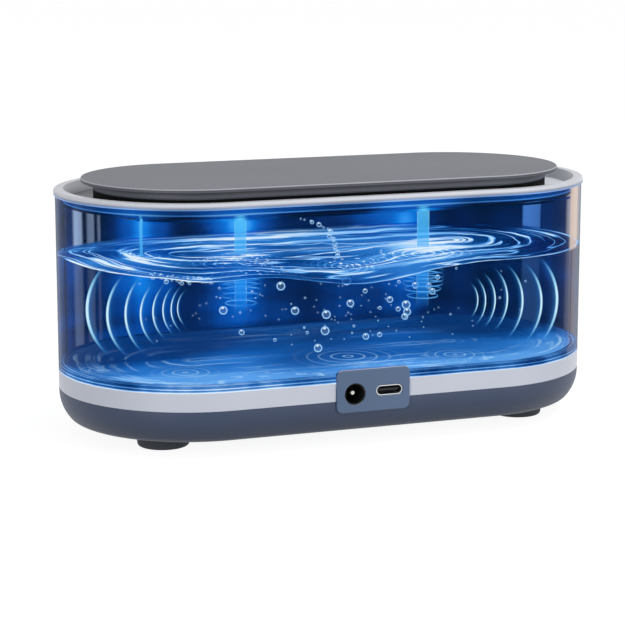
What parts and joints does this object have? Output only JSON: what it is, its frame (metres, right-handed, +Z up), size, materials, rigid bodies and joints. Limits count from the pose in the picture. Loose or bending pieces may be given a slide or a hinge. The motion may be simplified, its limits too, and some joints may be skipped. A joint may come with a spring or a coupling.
{
  "type": "ultrasonic jewellery cleaner",
  "caption": "Desktop ultrasonic jewellery cleaner: clear stadium-shaped tank with steel floor, lift-off lid, grey base with rubber feet, power sockets and a push button.",
  "frame": {"origin": "on the table, under the middle of the base", "axes": "+X along the length, +Z up; the power sockets face -Y and the power button faces +Y"},
  "size_m": [0.18, 0.0886, 0.083],
  "materials": {
    "base_abs": "fine matt moulded ABS",
    "band_abs": "smooth satin moulded ABS",
    "clear_pc": "clear polished polycarbonate",
    "rim_frosted": "frosted translucent moulding",
    "lid_abs": "matt moulded ABS",
    "plug_abs": "matt moulded ABS",
    "seal_silicone": "matt silicone",
    "foot_rubber": "matt moulded rubber",
    "floor_steel": "satin pressed stainless steel",
    "disc_aluminium": "turned aluminium",
    "piezo_ceramic": "fired ceramic, unglazed",
    "electrode_silver": "fired silver layer",
    "board_fr4": "green solder mask on FR4",
    "chip_epoxy": "moulded epoxy",
    "core_ferrite": "sintered ferrite",
    "coil_copper": "enamelled copper wire",
    "capacitor_can": "drawn aluminium can",
    "screw_steel": "zinc-plated steel",
    "strip_white": "white solder mask on FR4",
    "led_resin": "clear epoxy over a blue emitter",
    "panel_abs": "fine matt moulded ABS",
    "jack_nylon": "moulded nylon",
    "pin_nickel": "nickel-plated brass",
    "usb_steel": "nickel-plated drawn steel",
    "key_abs": "fine matt moulded ABS",
    "plunger_pom": "moulded acetal",
    "plug_nylon": "moulded natural nylon",
    "lead_pvc_red": "extruded PVC over copper strands",
    "lead_pvc_black": "extruded PVC over copper strands"
  },
  "bodies": {
    "main_body": {"base_housing": "base_abs", "foot_front_left": "foot_rubber", "foot_front_right": "foot_rubber", "foot_rear_left": "foot_rubber", "foot_rear_right": "foot_rubber", "base_screws": "screw_steel", "mid_frame": "band_abs", "led_strip": "strip_white", "leds": "led_resin", "tank_wall": "clear_pc", "floor_gasket": "seal_silicone", "tank_floor": "floor_steel", "transducer_disc": "disc_aluminium", "piezo_disc": "piezo_ceramic", "piezo_electrode": "electrode_silver", "main_board": "board_fr4", "board_screws": "screw_steel", "driver_chip": "chip_epoxy", "inductor_core": "core_ferrite", "inductor_coil": "coil_copper", "capacitors": "capacitor_can", "power_transistor": "chip_epoxy", "dc_jack_body": "jack_nylon", "dc_jack_pin": "pin_nickel", "usb_board": "board_fr4", "usb_header": "chip_epoxy", "usb_shell": "usb_steel", "usb_tongue": "jack_nylon", "port_panel": "panel_abs", "switch_body": "chip_epoxy", "top_rim": "rim_frosted", "lead_plugs": "plug_nylon", "transducer_leads": "lead_pvc_red", "light_leads": "lead_pvc_black"},
    "lid": {"lid_cover": "lid_abs", "lid_plug": "plug_abs", "lid_seal": "seal_silicone"},
    "power_key": {"power_button": "key_abs", "switch_plunger": "plunger_pom"}
  },
  "joints": [
    {"name": "lid_lift", "type": "slide", "parent": "main_body", "child": "lid", "axis": [0, 0, 1], "range_m": [0, 0.06]},
    {"name": "button_press", "type": "slide", "parent": "main_body", "child": "power_key", "axis": [0, -1, 0], "range_m": [0, 0.0008], "stiffness_N_per_m": 1500, "springref_m": -0.0003}
  ]
}
